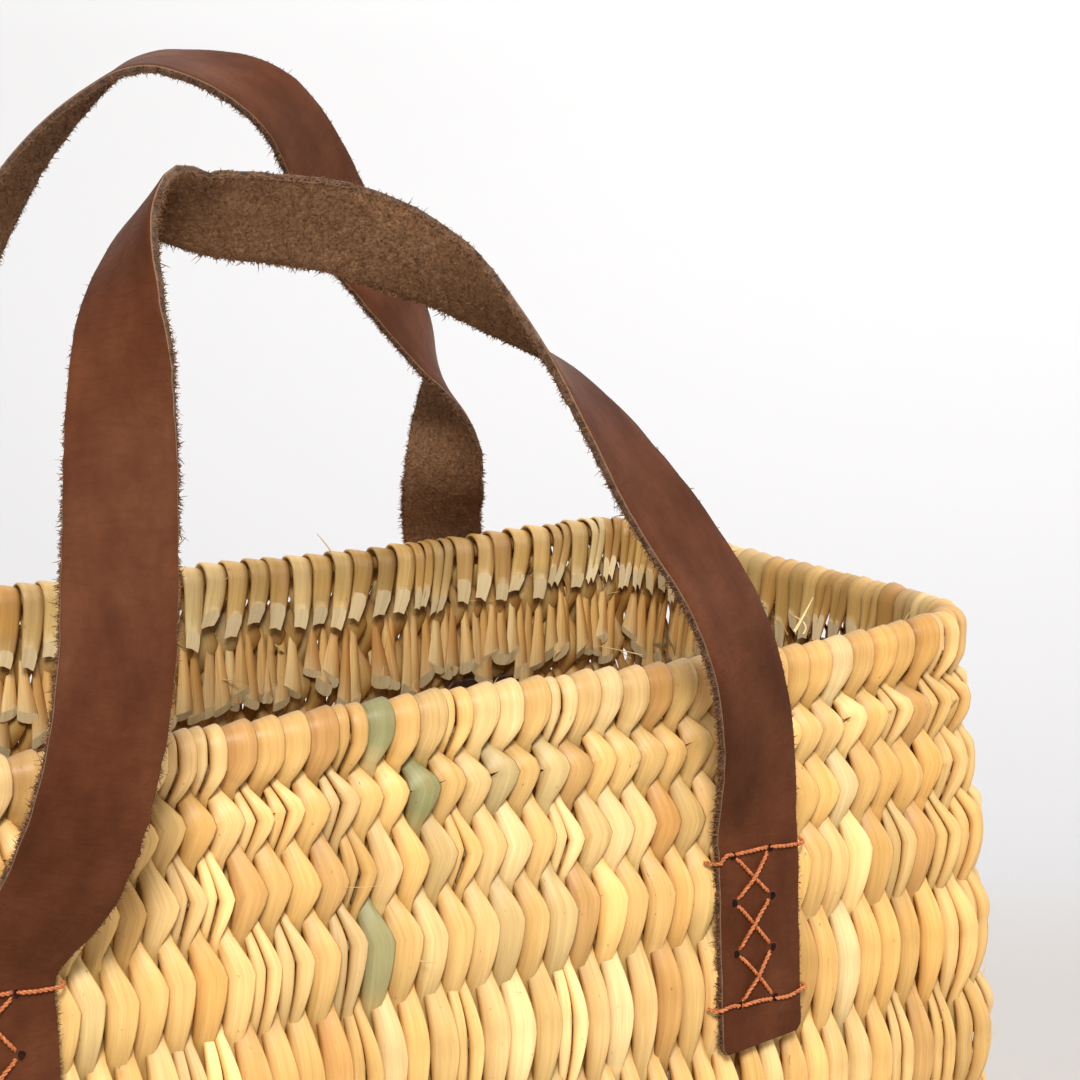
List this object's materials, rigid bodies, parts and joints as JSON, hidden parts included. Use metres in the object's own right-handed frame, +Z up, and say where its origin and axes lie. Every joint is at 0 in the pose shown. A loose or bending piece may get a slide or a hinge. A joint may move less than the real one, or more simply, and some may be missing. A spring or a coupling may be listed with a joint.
{
  "type": "woven market basket",
  "caption": "Deep rectangular reed basket with a wrapped rim, open inside, and a stitched leather carrying strap on each long side.",
  "frame": {"origin": "on the floor under the middle of the base", "axes": "+X along the basket's long side, +Y from the front wall to the back wall, +Z up"},
  "size_m": [0.4702, 0.2779, 0.4746],
  "materials": {
    "reed": "dry satin reed, straw yellow to tan",
    "cord": "dull twisted plant-fibre cord",
    "strap_leather": "smooth oiled brown grain outside, raw suede inside",
    "patch_leather": "dark brown leather",
    "thread": "waxed orange-brown twisted thread"
  },
  "bodies": {
    "basket": {"back_left_backing_patch": "patch_leather", "back_left_corner_reeds": "reed", "back_left_stitching": "thread", "back_reeds": "reed", "back_right_backing_patch": "patch_leather", "back_right_corner_reeds": "reed", "back_right_stitching": "thread", "back_strap_left_end": "strap_leather", "back_strap_right_end": "strap_leather", "base_cord_1": "cord", "base_cord_2": "cord", "base_cord_3": "cord", "base_cord_4": "cord", "base_cord_5": "cord", "base_reeds": "reed", "front_left_backing_patch": "patch_leather", "front_left_corner_reeds": "reed", "front_left_stitching": "thread", "front_reeds": "reed", "front_right_backing_patch": "patch_leather", "front_right_corner_reeds": "reed", "front_right_stitching": "thread", "front_strap_left_end": "strap_leather", "front_strap_right_end": "strap_leather", "left_end_reeds": "reed", "right_end_reeds": "reed", "rim_core": "cord", "wall_cord_1": "cord", "wall_cord_2": "cord", "wall_cord_3": "cord", "wall_cord_4": "cord", "wall_cord_5": "cord", "wall_cord_6": "cord", "wall_cord_7": "cord", "wall_cord_8": "cord"},
    "front_legs": {"front_strap_left_leg": "strap_leather", "front_strap_right_leg": "strap_leather"},
    "front_arch": {"front_strap_arch": "strap_leather"},
    "back_legs": {"back_strap_left_leg": "strap_leather", "back_strap_right_leg": "strap_leather"},
    "back_arch": {"back_strap_arch": "strap_leather"}
  },
  "joints": [
    {"name": "front_strap_swing", "type": "hinge", "parent": "basket", "child": "front_legs", "pos_m": [0, -0.12, 0.2308], "axis": [1, 0, 0], "range_deg": [-4, 120]},
    {"name": "front_strap_lean", "type": "hinge", "parent": "front_legs", "child": "front_arch", "pos_m": [0.0021, -0.13691, 0.296], "axis": [-0.9989, -0.0472, 0], "range_deg": [-20, 22]},
    {"name": "back_strap_swing", "type": "hinge", "parent": "basket", "child": "back_legs", "pos_m": [0, 0.12, 0.2308], "axis": [-1, 0, 0], "range_deg": [0, 120]},
    {"name": "back_strap_lean", "type": "hinge", "parent": "back_legs", "child": "back_arch", "pos_m": [0.0099, 0.11458, 0.296], "axis": [1, -0.0061, 0], "range_deg": [-20, 22]}
  ]
}
